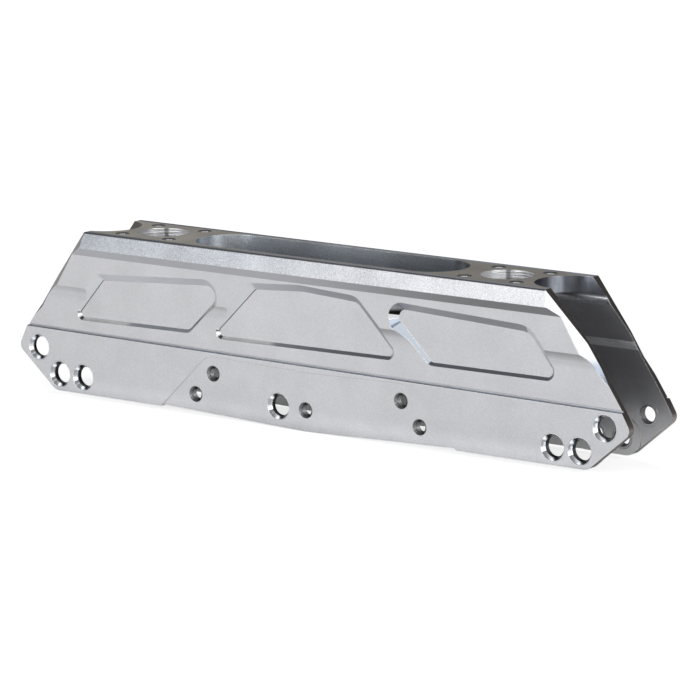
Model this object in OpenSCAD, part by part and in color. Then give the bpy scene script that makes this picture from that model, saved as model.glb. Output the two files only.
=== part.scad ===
// Inline skate frame: a one-piece machined aluminium channel with steel seats and
// thread inserts set in its holes. X runs along the frame, Y across it and Z up.
// The origin is at the middle of the frame, at the height of its lowest edge.

/* [Side outline] */
// Height of the top face
top_h = 68.5; // [66:0.1:74]
// Height at which the sloping ends change their slope
knee_h = 49.5; // [44:0.1:55]
// Height of the rails' lower edge
rail_low_h = 1.7; // [1:0.1:2.2]
// How far the noses reach past the upper axle holes
nose_overhang = 11.1; // [9.5:0.1:14]
// How far the tips of the noses lie under the upper axle holes
nose_drop = 0.6; // [0:0.1:2]
// How far the rails' straight lower edge reaches past the lower outer axle holes
foot_overhang = 3; // [1:0.1:5]
// How far the rails' upper edge reaches past the upper axle holes
ledge_overhang = 6.75; // [5:0.05:9]
// How far each end goes back between the rails and the change of slope
knee_back = 16.35; // [12:0.05:22]
// How far each end goes back between the change of slope and the top face
top_back = 15.95; // [10:0.05:20]
// Place of the top face's middle along the frame
top_x = -0.85; // [-2:0.05:2]
// Radius of the nose tips
nose_r = 3.5; // [1:0.1:6]
// Radius of the corners between the noses and the lower edge
foot_r = 6; // [2:0.1:12]

/* [Cross section] */
// Thickness of the rails that carry the axles
rail_t = 3.6; // [3:0.05:5]
// How far the lower walls are set back from the rails
rail_step = 1; // [0.8:0.05:1.4]
// How far the upper walls stand out over the lower walls
upper_step = 1.9; // [1.4:0.05:2.6]
// How far the blasted bevels stand out over the upper walls
bevel_step = 2; // [1:0.05:4]
// How far the bevels lean in towards the top edges
bevel_lean = 1.25; // [0.5:0.05:2]
// Drop from the top face to the bevels' lower edge
bevel_drop = 6.6; // [4:0.1:9]
// Drop from the bevels' lower edge to the upper walls
band_drop = 3.2; // [2:0.1:5]
// Height of the upper walls' lower edge, where the cove begins
cove_top_h = 45.3; // [44.5:0.1:48]
// Height of the cove that leads down to the lower walls
cove_run = 5.8; // [3:0.1:6.5]
// Height of the rails' upper edge at the middle of the frame
ledge_h = 26.15; // [25:0.05:28]
// How much higher the rails' upper edge is at the front end
ledge_rise = 0.85; // [0:0.05:1.2]
// Chamfer along the top edges
top_chamfer = 0.5; // [0.2:0.05:1]
// Chamfer along the rails' upper edge
ledge_chamfer = 0.3; // [0.1:0.05:0.5]
// Height of the relief groove over the rails
groove_h = 0.5; // [0.3:0.05:0.9]
// Depth of the relief groove over the rails
groove_d = 0.5; // [0.1:0.05:0.7]

/* [Channel] */
// Half of the width of the channel between the rails
channel_half_w = 13.5; // [13.2:0.05:14]
// Thickness of the top plate
plate_t = 6.5; // [5:0.1:8]
// How far the channel widens on each side between the upper walls
channel_upper_step = 0.35; // [0.2:0.05:1.1]
// How far the channel widens further on each side under the top plate
channel_top_step = 0.85; // [0.3:0.05:1.2]
// Drop from the top plate to the slope under it
slope_drop = 1.1; // [0.5:0.1:3]
// Height of the slope under the top plate
slope_run = 2.2; // [1:0.1:4]
// Height of the slope between the upper and lower walls, at its upper edge
step_top_h = 45.6; // [44:0.1:47]
// Height of that slope
step_run = 2.9; // [1:0.1:4]
// Radius of the pads round the axle holes, inside the channel
pad_r = 8.3; // [7:0.1:9]
// Height of the pads over the channel's walls
pad_t = 0.5; // [0.3:0.05:1]

/* [End chamfers] */
// Direction of the upper chamfers, from the length of the frame
upper_chamfer_yaw = 58.5; // [56:0.5:62]
// Slope of the upper chamfers
upper_chamfer_pitch = 17.6; // [15:0.1:19]
// How far before the ends of the top face the upper chamfers begin
chamfer_top_back = 0.4; // [0:0.1:1.2]
// Height over the rails at which the lower chamfers run out
chamfer_end_rise = 6.4; // [4:0.1:9]
// Direction of the lower chamfers, from the length of the frame
lower_chamfer_yaw = 66; // [64:0.5:70]
// Slope of the lower chamfers
lower_chamfer_pitch = 23.5; // [21:0.5:26]

/* [Boot mounts] */
// Distance between the two boot mount holes
mount_spacing = 165; // [160:0.5:170]
// Place of the boot mounts' middle along the frame
mount_x = -2.3; // [-4:0.1:2]
// Radius of the boot mount holes
mount_r = 10.25; // [8:0.05:11]
// Half of the side of the square of screw holes round each mount hole
mount_screw_half = 11.75; // [11:0.05:11.8]
// Web between each mount hole and the long slot between the mounts
slot_web = 9.75; // [6:0.05:20]
// Web between each mount hole and the open scoop at that end
scoop_web = 4.65; // [3.5:0.05:8]
// Margin between the channel's sides and those of the slot and the scoops
slot_margin = 0.15; // [0.1:0.05:2]

/* [Axle holes] */
// Place of the axle rows' middle along the frame
axle_x = -0.65; // [-2:0.05:2]
// Height of the lower axle row
axle_h = 8.5; // [8:0.05:9.5]
// Distance between the lower inner axle holes
axle_inner_spacing = 225.4; // [222:0.1:240]
// Distance from each lower inner axle hole out to the lower outer one
axle_outer_step = 12; // [11:0.05:14]
// Distance along the frame from each lower outer axle hole out to the upper one
axle_upper_step = 10.9; // [9:0.05:13]
// Height of the upper axle holes over the lower row
axle_upper_rise = 10; // [9:0.05:11]
// Place of the middle axle hole along the frame
axle_middle_x = -15.6; // [-20:0.1:-13.6]
// Radius of the seats' mouths
seat_mouth_r = 5.2; // [4.6:0.05:5.25]
// Width of the flat rim round the seats' mouths
seat_rim = 0.2; // [0.1:0.05:0.3]
// Radius of the seats' bores
seat_bore_r = 4; // [3.5:0.05:4.3]
// Depth of the seats' cones
seat_cone_d = 2; // [1:0.05:2.8]
// Radius of the bores of the axle thread inserts
thread_bore_r = 3.1; // [2.8:0.05:3.6]
// Wall of the axle thread inserts
thread_wall = 1.5; // [0.8:0.05:1.6]
// Chamfer at both mouths of the axle thread inserts
thread_chamfer = 0.4; // [0.1:0.05:0.6]

/* [Guard recess] */
// Place of the guard recess's middle along the frame
guard_x = -2.4; // [-4:0.1:2]
// Depth of the guard recess
guard_d = 0.3; // [0.2:0.05:0.8]
// Half of the length of the recess at the rails' lower edge
guard_low_half = 70.2; // [64:0.1:78]
// Half of the length of the recess at its upper corners, before they are rounded
guard_top_half = 48.2; // [46:0.1:54]
// Height of the recess's upper corners
guard_top_h = 24.7; // [23:0.1:25]
// Drop of the recess's upper edge at its middle
guard_top_dip = 1.2; // [0.2:0.1:2]
// Radius of the recess's upper corners
guard_corner_r = 10; // [4:0.1:12]
// Height of the recess's lower corners
guard_low_h = 2.4; // [2.3:0.1:3.5]
// Half of the distance between the upper guard screws
guard_upper_half = 45.15; // [40:0.05:46]
// Height of the upper guard screws
guard_upper_h = 17.75; // [16:0.05:18.5]
// Half of the distance between the lower guard screws
guard_lower_half = 53.85; // [46:0.05:56]

/* [Screw inserts] */
// Radius of the bores of the small screw inserts
screw_bore_r = 2.1; // [1.6:0.05:2.4]
// Width of the guard inserts' countersinks
guard_sink = 0.95; // [0.4:0.05:1.2]
// Width of the top screw inserts' countersinks
top_screw_sink = 0.6; // [0.3:0.05:0.7]
// Width of the flat rim round each countersink
screw_rim = 0.15; // [0.1:0.05:0.4]

/* [Windows] */
// Depth of the windows in the lower walls
window_d = 1.2; // [0.4:0.05:1.4]
// Height of the window floors' lower edge
window_low_h = 33; // [31.5:0.1:35]

/* [Hidden] */

// Steps in each rounded corner of an outline
arc_steps = 8;
// How far a cutter reaches past the face that it opens
over = 1;
// Half the size of the blocks that cut the end chamfers
block = 80;

body_colour = [0.78, 0.78, 0.80];
seat_colour = [0.88, 0.89, 0.91];
thread_colour = [0.66, 0.67, 0.69];
screw_colour = [0.74, 0.75, 0.77];

// Half widths over the outer surfaces
rail_half_w = channel_half_w + rail_t;
lower_half_w = rail_half_w - rail_step;
upper_half_w = lower_half_w + upper_step;
bevel_half_w = upper_half_w + bevel_step;
top_half_w = bevel_half_w - bevel_lean;
guard_half_w = rail_half_w - guard_d;
window_floor_half_w = lower_half_w - window_d;

// Half widths of the channel
channel_upper_half_w = channel_half_w + channel_upper_step;
channel_top_half_w = channel_upper_half_w + channel_top_step;
pad_half_w = channel_half_w - pad_t;
slot_half_w = channel_top_half_w - slot_margin;

// Heights
plate_low_h = top_h - plate_t;
slope_top_h = plate_low_h - slope_drop;
slope_low_h = slope_top_h - slope_run;
bevel_h = top_h - bevel_drop;
upper_wall_h = bevel_h - band_drop;
cove_low_h = cove_top_h - cove_run;
cove_r = (cove_run * cove_run + upper_step * upper_step) / (2 * upper_step);
step_low_h = step_top_h - step_run;
upper_axle_h = axle_h + axle_upper_rise;
nose_h = upper_axle_h - nose_drop;
chamfer_end_h = ledge_h + chamfer_end_rise;

// Lengths
axle_outer_spacing = axle_inner_spacing + 2 * axle_outer_step;
axle_upper_spacing = axle_outer_spacing + 2 * axle_upper_step;
foot_l = axle_outer_spacing + 2 * foot_overhang;
nose_l = axle_upper_spacing + 2 * nose_overhang;
ledge_l = axle_upper_spacing + 2 * ledge_overhang;
knee_l = ledge_l - 2 * knee_back;
top_l = knee_l - 2 * top_back;
slot_half_l = mount_spacing / 2 - mount_r - slot_web;
scoop_start = mount_spacing / 2 + mount_r + scoop_web;
// Slope of the rails' upper edge down towards the rear
ledge_tilt = atan(2 * ledge_rise / ledge_l);

// Radii and lengths of the seats and inserts
seat_outer_r = seat_mouth_r + seat_rim;
seat_l = rail_half_w - pad_half_w;
thread_outer_r = thread_bore_r + thread_wall;
guard_outer_r = screw_bore_r + guard_sink + screw_rim;
guard_insert_l = guard_half_w - channel_half_w;
top_screw_outer_r = screw_bore_r + top_screw_sink + screw_rim;

// Axle holes as [x, z], from the front to the rear
axle_holes = [
    [axle_x - axle_upper_spacing / 2, upper_axle_h],
    [axle_x - axle_outer_spacing / 2, axle_h],
    [axle_x - axle_inner_spacing / 2, axle_h],
    [axle_middle_x, axle_h],
    [axle_x + axle_inner_spacing / 2, axle_h],
    [axle_x + axle_outer_spacing / 2, axle_h],
    [axle_x + axle_upper_spacing / 2, upper_axle_h]
];

// Guard screws as [x, z], from the front to the rear
guard_holes = [
    [guard_x - guard_lower_half, axle_h],
    [guard_x - guard_upper_half, guard_upper_h],
    [guard_x, axle_h],
    [guard_x + guard_upper_half, guard_upper_h],
    [guard_x + guard_lower_half, axle_h]
];

// Distances from the middle plane at which a seat or thread insert ends
function axle_outside(i) = i == 3 ? guard_half_w : rail_half_w;
function axle_inside(i) = axle_holes[i][1] == axle_h ? pad_half_w : channel_half_w;

// Corners of the square of screws round a mount hole, as signs along X and Y
square_corners = [[-1, -1], [1, -1], [1, 1], [-1, 1]];

// Window floors: corners as [x, height over the floor's lower edge, radius]
front_window = [[-117.4, -0.1, 1.7], [-60.5, 0.75, 3], [-40.9, 20.1, 4.2], [-103.9, 15.9, 1.5]];
middle_window = [[-47.9, 0, 1.8], [40.4, 1.1, 2], [21.1, 20.6, 4], [-4.8, 22, 2],
    [-27.6, 20.4, 1.5]];
rear_window = [[55.9, 1.1, 2.5], [113.5, 1.5, 2.5], [100.2, 17.8, 7], [36, 20.5, 3]];

function unit(v) = v / norm(v);

// Points of a polygon's corner b, between a and c, rounded to radius r
function corner_points(a, b, c, r) =
    let (u = unit(a - b), v = unit(c - b), half = acos(u * v) / 2,
        middle = b + unit(u + v) * r / sin(half),
        p = b + u * r / tan(half) - middle,
        side = p.x * (c - b).y - p.y * (c - b).x > 0 ? 1 : -1,
        start = atan2(p.y, p.x), sweep = side * (180 - 2 * half))
    [for (i = [0:arc_steps]) middle + r * [cos(start + sweep * i / arc_steps),
        sin(start + sweep * i / arc_steps)]];

// Outline of a polygon given as [x, y, radius]; a radius of 0 leaves the corner sharp
function rounded(pts) =
    let (n = len(pts))
    [for (i = [0:n - 1])
        let (b = pts[i], a = pts[(i + n - 1) % n], c = pts[(i + 1) % n])
        each (b[2] == 0 ? [[b.x, b.y]]
            : corner_points([a.x, a.y], [b.x, b.y], [c.x, c.y], b[2]))];

// Centre of the circle that rounds corner b
function corner_centre(a, b, c, r) =
    let (u = unit(a - b), v = unit(c - b), half = acos(u * v) / 2)
    b + unit(u + v) * r / sin(half);

side_outline = rounded([
    [top_x - top_l / 2, top_h, 0],
    [-knee_l / 2, knee_h, 0],
    [-ledge_l / 2, ledge_h + ledge_rise, 0],
    [-nose_l / 2, nose_h, nose_r],
    [-foot_l / 2, rail_low_h, foot_r],
    [guard_x - guard_low_half - (guard_low_h - rail_low_h), rail_low_h, 0],
    [guard_x - guard_low_half, guard_low_h, 0],
    [guard_x, 0, 0],
    [guard_x + guard_low_half, guard_low_h, 0],
    [guard_x + guard_low_half + (guard_low_h - rail_low_h), rail_low_h, 0],
    [foot_l / 2, rail_low_h, foot_r],
    [nose_l / 2, nose_h, nose_r],
    [ledge_l / 2, ledge_h - ledge_rise, 0],
    [knee_l / 2, knee_h, 0],
    [top_x + top_l / 2, top_h, 0]
]);

// Slope of the recess's sides, as length lost for each unit of height
guard_slope = (guard_low_half - guard_top_half) / (guard_top_h - guard_low_h);
guard_foot_half = guard_low_half + guard_slope * (guard_low_h + over);

guard_outline = rounded([
    [guard_x - guard_foot_half, -over, 0],
    [guard_x - guard_top_half, guard_top_h, guard_corner_r],
    [guard_x, guard_top_h - guard_top_dip, 0],
    [guard_x + guard_top_half, guard_top_h, guard_corner_r],
    [guard_x + guard_foot_half, -over, 0]
]);

// One half of the section over the rails, with the channel closed
module half_section() {
    polygon([
        [0, top_h],
        [top_half_w - top_chamfer, top_h],
        [top_half_w, top_h - top_chamfer],
        [bevel_half_w, bevel_h],
        [upper_half_w, upper_wall_h],
        [upper_half_w, cove_top_h],
        [lower_half_w, cove_top_h],
        [lower_half_w, 0],
        [0, 0]
    ]);
    difference() {
        translate([lower_half_w, cove_low_h]) square([upper_step, cove_run]);
        translate([lower_half_w + cove_r, cove_low_h]) circle(r = cove_r, $fn = 96);
    }
}

// Section of both rails, down from their upper edge, with the channel closed
module rail_section() {
    polygon([
        [rail_half_w - ledge_chamfer, 0],
        [rail_half_w, -ledge_chamfer],
        [rail_half_w, -ledge_h - 2 * over],
        [-rail_half_w, -ledge_h - 2 * over],
        [-rail_half_w, -ledge_chamfer],
        [-rail_half_w + ledge_chamfer, 0]
    ]);
}

// Section of the relief groove over one rail
module groove_section() {
    translate([lower_half_w - groove_d, 0]) square([rail_step + groove_d + over, groove_h]);
}

// Section of the wheel channel
module channel_section() {
    polygon([
        [channel_top_half_w, plate_low_h],
        [channel_top_half_w, slope_top_h],
        [channel_upper_half_w, slope_low_h],
        [channel_upper_half_w, step_top_h],
        [channel_half_w, step_low_h],
        [channel_half_w, -2 * over],
        [-channel_half_w, -2 * over],
        [-channel_half_w, step_low_h],
        [-channel_upper_half_w, step_top_h],
        [-channel_upper_half_w, slope_low_h],
        [-channel_top_half_w, slope_top_h],
        [-channel_top_half_w, plate_low_h]
    ]);
}

// Stands a section up, with its width along Y, and extrudes it along the frame
module along_frame() {
    rotate([90, 0, 90])
        linear_extrude(height = nose_l + 2 * over, center = true) children();
}

// The same along the rails' upper edge, with the section's own origin on that edge
module along_ledge() {
    translate([0, 0, ledge_h]) rotate([0, ledge_tilt, 0]) along_frame() children();
}

// The side outline as a slab between two distances from the middle plane
module side_slab(from_y, to_y, points) {
    translate([0, to_y, 0]) rotate([90, 0, 0])
        linear_extrude(height = to_y - from_y) polygon(points);
}

// A round cutter or ring through a side wall; near walls are at negative Y
module side_rod(place, r, from_y, to_y) {
    translate([place.x, from_y, place.y]) rotate([-90, 0, 0])
        cylinder(r = r, h = to_y - from_y, $fn = 64);
}

// Everything on the far side of a plane through a point, facing yaw and pitch
module beyond(point, yaw, pitch) {
    translate(point) rotate([0, -pitch, yaw])
        translate([0, -block, -block]) cube([2 * block, 2 * block, 2 * block]);
}

// What the two facets take off one outer corner of an end
module end_chamfer(top_end_x) {
    chamfer_end_x = (ledge_l + (knee_l - ledge_l)
        * (chamfer_end_h - ledge_h) / (knee_h - ledge_h)) / 2;
    intersection() {
        beyond([top_end_x - chamfer_top_back, top_half_w, top_h],
            upper_chamfer_yaw, upper_chamfer_pitch);
        beyond([chamfer_end_x, lower_half_w, chamfer_end_h],
            lower_chamfer_yaw, lower_chamfer_pitch);
    }
}

// A window with sides that open at 45 degrees, for the side at negative Y
module window(corners) {
    n = len(corners);
    depth = bevel_half_w - window_floor_half_w;
    hull() for (i = [0:n - 1]) {
        a = corners[(i + n - 1) % n];
        b = corners[i];
        c = corners[(i + 1) % n];
        middle = corner_centre([a.x, a.y], [b.x, b.y], [c.x, c.y], b[2]);
        translate([middle.x, -window_floor_half_w, window_low_h + middle.y])
            rotate([90, 0, 0])
                cylinder(r1 = b[2], r2 = b[2] + depth, h = depth, $fn = 32);
    }
}

// A slot with round ends through the top plate
module plate_slot(from_x, to_x) {
    low = slope_top_h;
    for (x = [from_x, to_x]) translate([x, 0, low])
        cylinder(r = slot_half_w, h = top_h - low + over, $fn = 96);
    translate([from_x, -slot_half_w, low])
        cube([to_x - from_x, 2 * slot_half_w, top_h - low + over]);
}

module top_openings() {
    run = slot_half_l - slot_half_w;
    scoop_x = scoop_start + slot_half_w;
    plate_slot(mount_x - run, mount_x + run);
    plate_slot(-nose_l / 2, mount_x - scoop_x);
    plate_slot(mount_x + scoop_x, nose_l / 2);
    for (s = [-1, 1]) translate([mount_x + s * mount_spacing / 2, 0, plate_low_h - over]) {
        cylinder(r = mount_r, h = plate_t + 2 * over, $fn = 96);
        for (q = square_corners) translate(mount_screw_half * [q.x, q.y, 0])
            cylinder(r = top_screw_outer_r, h = plate_t + 2 * over, $fn = 48);
    }
}

// Pads round the lower axle holes; the upper ones end flush with the channel
module axle_pads() {
    intersection() {
        side_slab(-channel_half_w, channel_half_w, side_outline);
        for (s = [-1, 1]) for (place = axle_holes) if (place[1] == axle_h)
            side_rod(place, pad_r, s > 0 ? pad_half_w : -channel_half_w - over / 2,
                s > 0 ? channel_half_w + over / 2 : -pad_half_w);
    }
}

module frame_body() {
    color(body_colour) difference() {
        union() {
            difference() {
                intersection() {
                    side_slab(-bevel_half_w - over, bevel_half_w + over, side_outline);
                    union() {
                        along_frame() { half_section(); mirror([1, 0]) half_section(); }
                        along_ledge() rail_section();
                    }
                }
                along_ledge() { groove_section(); mirror([1, 0]) groove_section(); }
                along_frame() channel_section();
                for (x = [0, 1]) for (y = [0, 1]) mirror([x, 0, 0]) mirror([0, y, 0])
                    end_chamfer(top_l / 2 + (x == 0 ? top_x : -top_x));
            }
            axle_pads();
        }
        top_openings();
        for (y = [0, 1]) mirror([0, y, 0]) {
            window(front_window);
            window(middle_window);
            window(rear_window);
            side_slab(-bevel_half_w, -guard_half_w, guard_outline);
            for (place = guard_holes)
                side_rod(place, guard_outer_r, -rail_half_w - over, -pad_half_w);
        }
        for (place = axle_holes) {
            side_rod(place, seat_outer_r, -rail_half_w - over, -pad_half_w + over);
            side_rod(place, thread_outer_r, pad_half_w - over, rail_half_w + over);
        }
    }
}

// A seat for an axle's head: a bore with a cone that opens to the outside
module axle_seat(i) {
    outside = axle_outside(i);
    color(seat_colour) translate([axle_holes[i].x, -outside, axle_holes[i].y])
        rotate([-90, 0, 0]) difference() {
            cylinder(r = seat_outer_r, h = outside - axle_inside(i), $fn = 64);
            translate([0, 0, -over])
                cylinder(r = seat_bore_r, h = seat_l + 2 * over, $fn = 64);
            cylinder(r1 = seat_mouth_r, r2 = seat_bore_r, h = seat_cone_d, $fn = 64);
            translate([0, 0, -over]) cylinder(r = seat_mouth_r, h = over, $fn = 64);
        }
}

// A thread insert for an axle's end, chamfered at both mouths
module axle_thread(i) {
    l = axle_outside(i) - axle_inside(i);
    color(thread_colour) translate([axle_holes[i].x, axle_inside(i), axle_holes[i].y])
        rotate([-90, 0, 0]) difference() {
            cylinder(r = thread_outer_r, h = l, $fn = 64);
            translate([0, 0, -over]) cylinder(r = thread_bore_r, h = l + 2 * over, $fn = 64);
            cylinder(r1 = thread_bore_r + thread_chamfer, r2 = thread_bore_r,
                h = thread_chamfer, $fn = 64);
            translate([0, 0, l - thread_chamfer])
                cylinder(r1 = thread_bore_r, r2 = thread_bore_r + thread_chamfer,
                    h = thread_chamfer, $fn = 64);
        }
}

// A ring with a countersunk mouth at its lower end
module screw_insert(sink, l) {
    difference() {
        cylinder(r = screw_bore_r + sink + screw_rim, h = l, $fn = 48);
        translate([0, 0, -over]) cylinder(r = screw_bore_r, h = l + 2 * over, $fn = 48);
        cylinder(r1 = screw_bore_r + sink, r2 = screw_bore_r, h = sink, $fn = 48);
    }
}

module guard_insert(i, side) {
    color(screw_colour) mirror([0, side > 0 ? 1 : 0, 0])
        translate([guard_holes[i].x, -guard_half_w, guard_holes[i].y])
            rotate([-90, 0, 0]) screw_insert(guard_sink, guard_insert_l);
}

module mount_insert(end, i) {
    color(screw_colour)
        translate([mount_x + end * mount_spacing / 2 + mount_screw_half * square_corners[i].x,
            mount_screw_half * square_corners[i].y, top_h])
            rotate([180, 0, 0]) screw_insert(top_screw_sink, plate_t);
}

frame_body();
axle_seat(0);  // axle_seat_front_upper
axle_seat(1);  // axle_seat_front_outer
axle_seat(2);  // axle_seat_front_inner
axle_seat(3);  // axle_seat_middle
axle_seat(4);  // axle_seat_rear_inner
axle_seat(5);  // axle_seat_rear_outer
axle_seat(6);  // axle_seat_rear_upper
axle_thread(0);  // axle_thread_front_upper
axle_thread(1);  // axle_thread_front_outer
axle_thread(2);  // axle_thread_front_inner
axle_thread(3);  // axle_thread_middle
axle_thread(4);  // axle_thread_rear_inner
axle_thread(5);  // axle_thread_rear_outer
axle_thread(6);  // axle_thread_rear_upper
guard_insert(0, -1);  // guard_insert_left_front_low
guard_insert(1, -1);  // guard_insert_left_front_high
guard_insert(2, -1);  // guard_insert_left_middle
guard_insert(3, -1);  // guard_insert_left_rear_high
guard_insert(4, -1);  // guard_insert_left_rear_low
guard_insert(0, 1);  // guard_insert_right_front_low
guard_insert(1, 1);  // guard_insert_right_front_high
guard_insert(2, 1);  // guard_insert_right_middle
guard_insert(3, 1);  // guard_insert_right_rear_high
guard_insert(4, 1);  // guard_insert_right_rear_low
mount_insert(-1, 0);  // mount_insert_front_1
mount_insert(-1, 1);  // mount_insert_front_2
mount_insert(-1, 2);  // mount_insert_front_3
mount_insert(-1, 3);  // mount_insert_front_4
mount_insert(1, 0);  // mount_insert_rear_1
mount_insert(1, 1);  // mount_insert_rear_2
mount_insert(1, 2);  // mount_insert_rear_3
mount_insert(1, 3);  // mount_insert_rear_4
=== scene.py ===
"""Looks of a machined inline skate frame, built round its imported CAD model."""

import math

import bpy
from bpy.props import FloatProperty, FloatVectorProperty, IntProperty, PointerProperty
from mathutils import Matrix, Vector


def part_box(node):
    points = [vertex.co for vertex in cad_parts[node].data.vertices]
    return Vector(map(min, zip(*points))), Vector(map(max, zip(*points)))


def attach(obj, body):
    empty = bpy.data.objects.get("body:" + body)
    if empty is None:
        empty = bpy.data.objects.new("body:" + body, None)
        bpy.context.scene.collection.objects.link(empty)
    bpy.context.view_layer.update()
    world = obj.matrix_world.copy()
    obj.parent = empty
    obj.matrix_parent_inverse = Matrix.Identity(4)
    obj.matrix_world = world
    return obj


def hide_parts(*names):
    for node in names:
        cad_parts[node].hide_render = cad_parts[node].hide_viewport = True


bl_info = {
    "name": "Inline Skate Frame",
    "version": (1, 0, 0),
    "blender": (4, 5, 0),
    "location": "View3D > Sidebar > Skate Frame",
    "description": "Builds a machined inline skate frame with its seats and inserts",
    "category": "Object",
}

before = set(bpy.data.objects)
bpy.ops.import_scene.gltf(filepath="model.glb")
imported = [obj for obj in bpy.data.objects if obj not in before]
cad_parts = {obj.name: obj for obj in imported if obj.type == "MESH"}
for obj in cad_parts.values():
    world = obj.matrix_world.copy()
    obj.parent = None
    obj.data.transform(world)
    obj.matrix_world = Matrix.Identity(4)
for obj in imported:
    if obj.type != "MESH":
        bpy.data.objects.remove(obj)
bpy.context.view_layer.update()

MM = 0.001
MERGE_DISTANCE = 0.002 * MM
TURNING = "turning"
RADIUS = "radius"

# Places on the frame in mm: depths are below its top and sides from its middle plane
RIM_DEPTH = 1
BEVEL_DEPTH, BAND_DEPTH, BEVEL_SIDE = 7, 10.2, 17.9
PLATE_DEPTH, PLATE_SIDE = 6.6, 14.7
SLOT_REACH, MOUNT_REACH = 90, 11
INNER_SIDE, INNER_STEP = 15.3, 50
COVE_LOW, COVE_TOP, COVE_SIDE = 39.5, 45.3, 16.1
WINDOW_SIDE, FLOOR_SIDE = 14.5, 14.9
FIRST_WINDOW_START, FIRST_WINDOW_END, SECOND_WINDOW_END = -90, -50, 20
WINDOW_FADE = (-95, 60)
CRESCENT_START, CRESCENT_END, CRESCENT_LOW = 30, 46, 50.4
SEAM_TOP, RAIL_TOP, RAIL_END = 29, 20, 125
CHAMFER_START = 100

CAMERA_AIM = (6.904, 0, 30.852)
SENSOR_WIDTH, LENS = 36, 221.794

AXLE_PLACES = (
    "front_upper", "front_outer", "front_inner", "middle",
    "rear_inner", "rear_outer", "rear_upper",
)
GUARD_PLACES = ("front_low", "front_high", "middle", "rear_high", "rear_low")
MOUNT_NUMBERS = (1, 2, 3, 4)


def node_middle(node):
    """The middle of a CAD node's box."""
    low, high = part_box(node)
    return (low + high) / 2


# Settings that a user can change


class FrameSizes(bpy.types.PropertyGroup):
    """Sizes of the details that are added to the CAD model."""

    edge_break: FloatProperty(
        name="Edge break",
        description="Width of the broken edges on the frame",
        default=0.16 * MM, min=0.05 * MM, max=0.4 * MM, precision=5, unit="LENGTH",
    )
    axle_pitch: FloatProperty(
        name="Axle thread pitch",
        description="Distance between the turns of the axle threads",
        default=1.0 * MM, min=0.5 * MM, max=1.5 * MM, precision=5, unit="LENGTH",
    )
    screw_pitch: FloatProperty(
        name="Screw thread pitch",
        description="Distance between the turns of the small screw threads",
        default=0.7 * MM, min=0.4 * MM, max=1.0 * MM, precision=5, unit="LENGTH",
    )
    ring_steps: IntProperty(
        name="Ring steps",
        description="Number of faces round each turned ring",
        default=96, min=32, max=160,
    )


class FrameFinishes(bpy.types.PropertyGroup):
    """Colours and grain of the metal finishes; several colours are darkened or tinted as painted
    light and shade.
    """

    satin: FloatVectorProperty(
        name="Satin aluminium", description="Colour of the side walls",
        default=(0.64, 0.64, 0.66), min=0, max=1, size=3, subtype="COLOR",
    )
    blasted: FloatVectorProperty(
        name="Blasted top", description="Colour of the blasted top face",
        default=(0.53, 0.50, 0.46), min=0, max=1, size=3, subtype="COLOR",
    )
    bevels: FloatVectorProperty(
        name="Blasted bevels", description="Colour of the blasted bevels along the top",
        default=(0.55, 0.58, 0.62), min=0, max=1, size=3, subtype="COLOR",
    )
    # Darker than bare aluminium as painted shade; the finish also serves other faces that look away
    # from the lamps.
    ends: FloatVectorProperty(
        name="Cut ends", description="Colour of the cut ends of the walls",
        default=(0.34, 0.31, 0.29), min=0, max=1, size=3, subtype="COLOR",
    )
    slots: FloatVectorProperty(
        name="Milled slot", description="Colour of the long slot in the top plate",
        default=(0.66, 0.71, 0.77), min=0, max=1, size=3, subtype="COLOR",
    )
    # Far darker than bare aluminium as painted shade and dark reflection, for the scoops and the
    # windows' lower sides.
    scoops: FloatVectorProperty(
        name="Milled scoops", description="Colour of the scoops and the windows' lower sides",
        default=(0.25, 0.265, 0.30), min=0, max=1, size=3, subtype="COLOR",
    )
    # A bluish grey that paints the cool reflection on the chamfers' lower parts, the top's long
    # edges, the windows' corners and the seams.
    cool: FloatVectorProperty(
        name="Cool corners", description="Colour of the chamfers' lower parts and the seams",
        default=(0.44, 0.49, 0.58), min=0, max=1, size=3, subtype="COLOR",
    )
    # Near black as painted shade in the rear windows' upper corners.
    crescent: FloatVectorProperty(
        name="Dark crescent", description="Colour of the rear windows' dark upper corners",
        default=(0.09, 0.08, 0.07), min=0, max=1, size=3, subtype="COLOR",
    )
    milled: FloatVectorProperty(
        name="Milled aluminium", description="Colour of the windows' milled sides and facets",
        default=(0.84, 0.85, 0.87), min=0, max=1, size=3, subtype="COLOR",
    )
    # Darker than bare aluminium as painted shade, for faces that look down, the crescents' tops and
    # the streaks in the mounting holes.
    bands: FloatVectorProperty(
        name="Plain bands", description="Colour of the bands under the bevels and the windows' tops",
        default=(0.47, 0.47, 0.49), min=0, max=1, size=3, subtype="COLOR",
    )
    polished: FloatVectorProperty(
        name="Polished aluminium", description="Colour of the boot mounting holes' walls",
        default=(0.96, 0.97, 0.99), min=0, max=1, size=3, subtype="COLOR",
    )
    channel: FloatVectorProperty(
        name="Channel aluminium", description="Colour inside the wheel channel",
        default=(0.66, 0.66, 0.68), min=0, max=1, size=3, subtype="COLOR",
    )
    seat: FloatVectorProperty(
        name="Seat steel", description="Colour of the axle seats and the mount inserts",
        default=(0.86, 0.88, 0.91), min=0, max=1, size=3, subtype="COLOR",
    )
    # Much darker than bare steel as painted shade deep in the axle holes.
    thread: FloatVectorProperty(
        name="Thread steel", description="Colour of the axle thread inserts",
        default=(0.17, 0.165, 0.165), min=0, max=1, size=3, subtype="COLOR",
    )
    # Darker than bare steel as a painted dark reflection in the countersinks.
    insert: FloatVectorProperty(
        name="Insert steel", description="Colour of the guard inserts",
        default=(0.28, 0.28, 0.285), min=0, max=1, size=3, subtype="COLOR",
    )
    grain: FloatProperty(
        name="Grain", description="Strength of the blasted grain",
        default=1.0, min=0, max=2,
    )


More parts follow.
